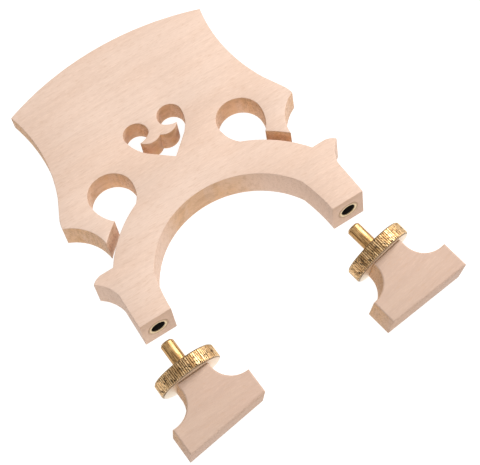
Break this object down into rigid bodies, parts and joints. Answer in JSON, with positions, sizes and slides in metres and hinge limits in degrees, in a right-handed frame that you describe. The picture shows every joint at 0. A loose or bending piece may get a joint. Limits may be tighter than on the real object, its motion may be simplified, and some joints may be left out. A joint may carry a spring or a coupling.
{
  "type": "double bass bridge with height adjusters",
  "caption": "Carved maple bridge for a double bass, laid out with its two height adjusters: maple feet with brass spindles and knurled wheels.",
  "frame": {"origin": "middle of the web between arch and heart, on the bridge's back face, which lies on the bench", "axes": "+X across the bridge, from the left leg to the right as seen from the front; +Y from the legs to the string edge; +Z out of the bench, through the front face"},
  "size_m": [0.1548, 0.2196, 0.0329],
  "materials": {
    "bridge_maple": "unvarnished, planed and scraped",
    "foot_maple": "unvarnished, sanded",
    "sleeve_brass": "drawn tube, dull",
    "insert_brass": "turned",
    "spindle_brass": "turned, bright",
    "wheel_brass": "straight knurled rim, darkened in the knurl"
  },
  "bodies": {
    "set": {"bridge_body": "bridge_maple", "left_leg_sleeve": "sleeve_brass", "left_foot": "foot_maple", "left_foot_insert": "insert_brass", "right_leg_sleeve": "sleeve_brass", "right_foot": "foot_maple", "right_foot_insert": "insert_brass"},
    "left_screw": {"left_spindle": "spindle_brass"},
    "left_wheel": {"left_wheel": "wheel_brass"},
    "right_screw": {"right_spindle": "spindle_brass"},
    "right_wheel": {"right_wheel": "wheel_brass"}
  },
  "joints": [
    {"name": "left_wheel_turn", "type": "hinge", "parent": "left_screw", "child": "left_wheel", "pos_m": [-0.0541, -0.092, 0.01571], "axis": [-0.0632, 0.9777, 0.2003], "range_deg": [0, 2880]},
    {"name": "left_screw_rise", "type": "slide", "parent": "set", "child": "left_screw", "axis": [-0.0632, 0.9777, 0.2003], "range_m": [0, 0.01]},
    {"name": "right_wheel_turn", "type": "hinge", "parent": "right_screw", "child": "right_wheel", "pos_m": [0.0514, -0.0916, 0.01571], "axis": [-0.1953, 0.9601, 0.2003], "range_deg": [0, 2880]},
    {"name": "right_screw_rise", "type": "slide", "parent": "set", "child": "right_screw", "axis": [-0.1953, 0.9601, 0.2003], "range_m": [0, 0.01]}
  ],
  "couplings": [
    {"joint": "left_wheel_turn", "follows": "left_screw_rise", "rad_per_m": 5026.5},
    {"joint": "right_wheel_turn", "follows": "right_screw_rise", "rad_per_m": 5026.5}
  ]
}
